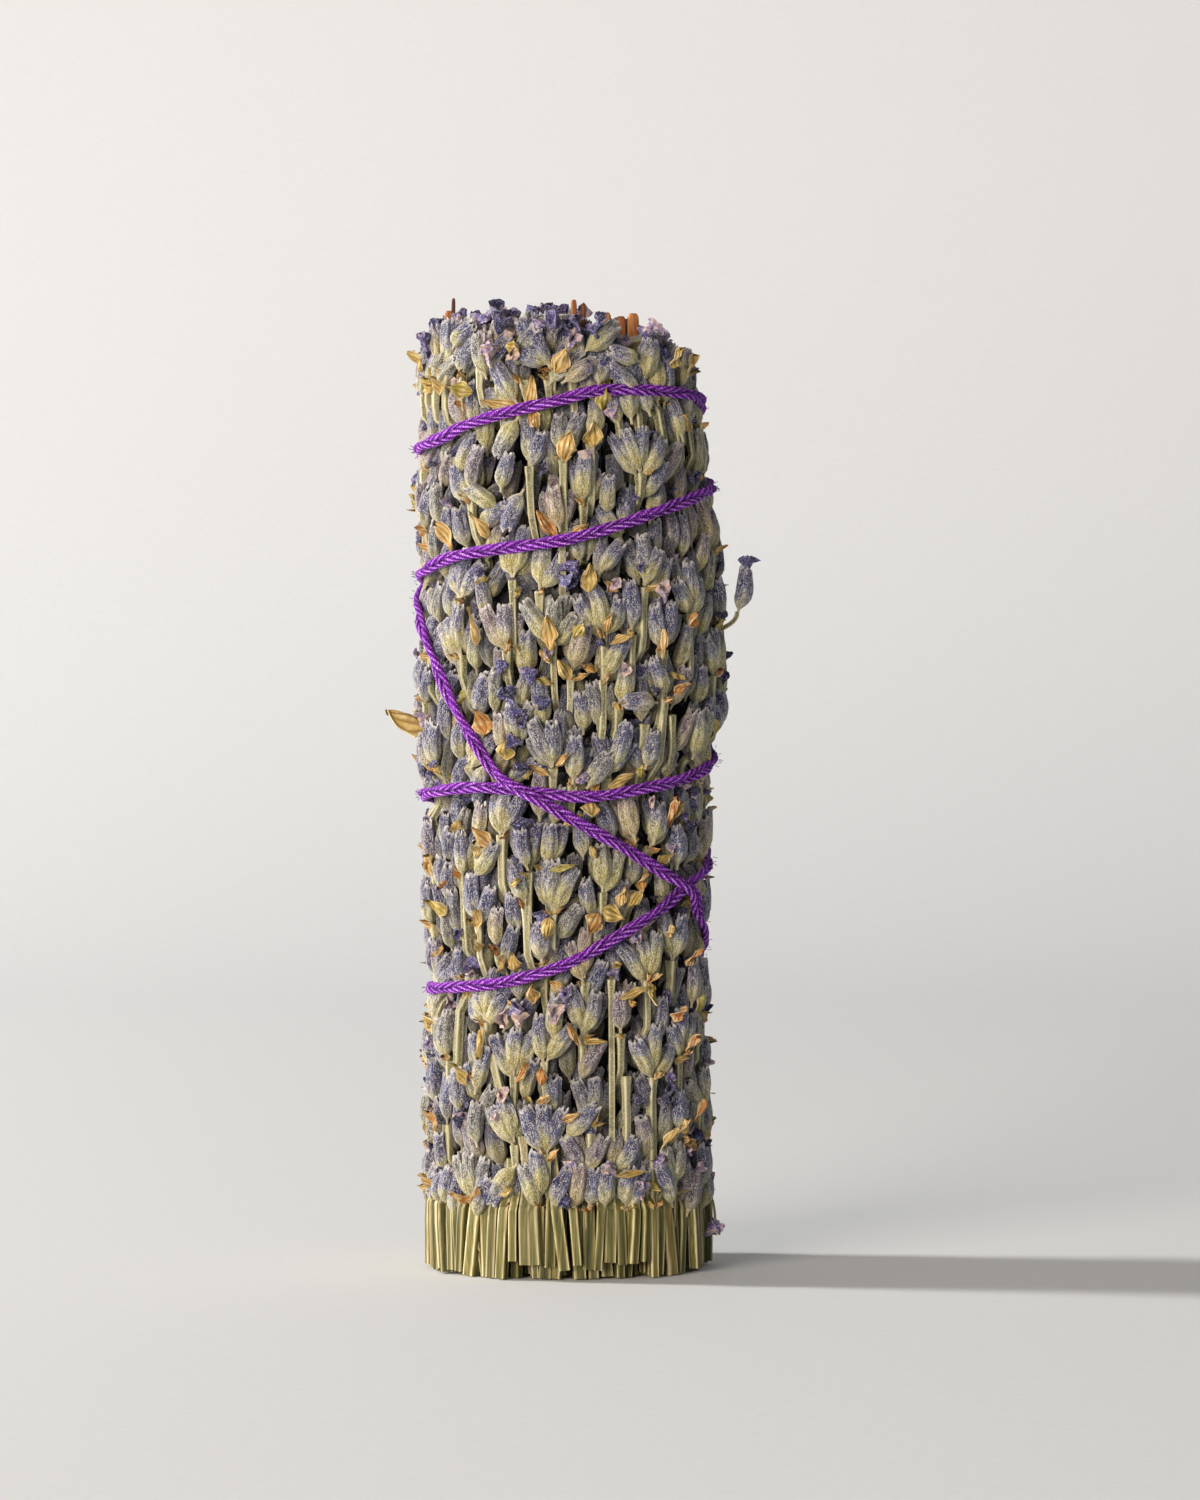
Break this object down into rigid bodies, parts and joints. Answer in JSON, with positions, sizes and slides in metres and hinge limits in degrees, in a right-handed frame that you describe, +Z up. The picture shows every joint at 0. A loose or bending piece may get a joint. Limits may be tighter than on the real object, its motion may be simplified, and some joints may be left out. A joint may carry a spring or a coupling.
{
  "type": "dried lavender bunch",
  "caption": "Small upright bundle of dried lavender, grey-violet flower heads on straw-coloured stems, bound with a criss-crossed purple cord and standing on its cut ends.",
  "frame": {"origin": "middle of the face that the cut stem ends stand on, under the middle of the bunch", "axes": "+Z up along the bunch, -Y towards the viewer of the picture, +X to the viewer's right"},
  "size_m": [0.0385, 0.0364, 0.1016],
  "materials": {
    "lavender_flowers": "matte",
    "lavender_stems": "matte",
    "cord": "matte"
  },
  "bodies": {
    "root": {"outer_sprig_01": "lavender_flowers", "outer_sprig_02": "lavender_flowers", "outer_sprig_03": "lavender_flowers", "outer_sprig_04": "lavender_flowers", "outer_sprig_05": "lavender_flowers", "outer_sprig_06": "lavender_flowers", "outer_sprig_07": "lavender_flowers", "outer_sprig_08": "lavender_flowers", "outer_sprig_09": "lavender_flowers", "outer_sprig_10": "lavender_flowers", "outer_sprig_11": "lavender_flowers", "outer_sprig_12": "lavender_flowers", "outer_sprig_13": "lavender_flowers", "outer_sprig_14": "lavender_flowers", "outer_sprig_15": "lavender_flowers", "outer_sprig_16": "lavender_flowers", "outer_sprig_17": "lavender_flowers", "outer_sprig_18": "lavender_flowers", "middle_sprig_01": "lavender_stems", "middle_sprig_02": "lavender_stems", "middle_sprig_03": "lavender_stems", "middle_sprig_04": "lavender_stems", "middle_sprig_05": "lavender_stems", "middle_sprig_06": "lavender_stems", "middle_sprig_07": "lavender_stems", "middle_sprig_08": "lavender_stems", "middle_sprig_09": "lavender_stems", "heart_sprig_01": "lavender_stems", "heart_sprig_02": "lavender_stems", "heart_sprig_03": "lavender_stems", "binding_cord": "cord"}
  },
  "joints": []
}
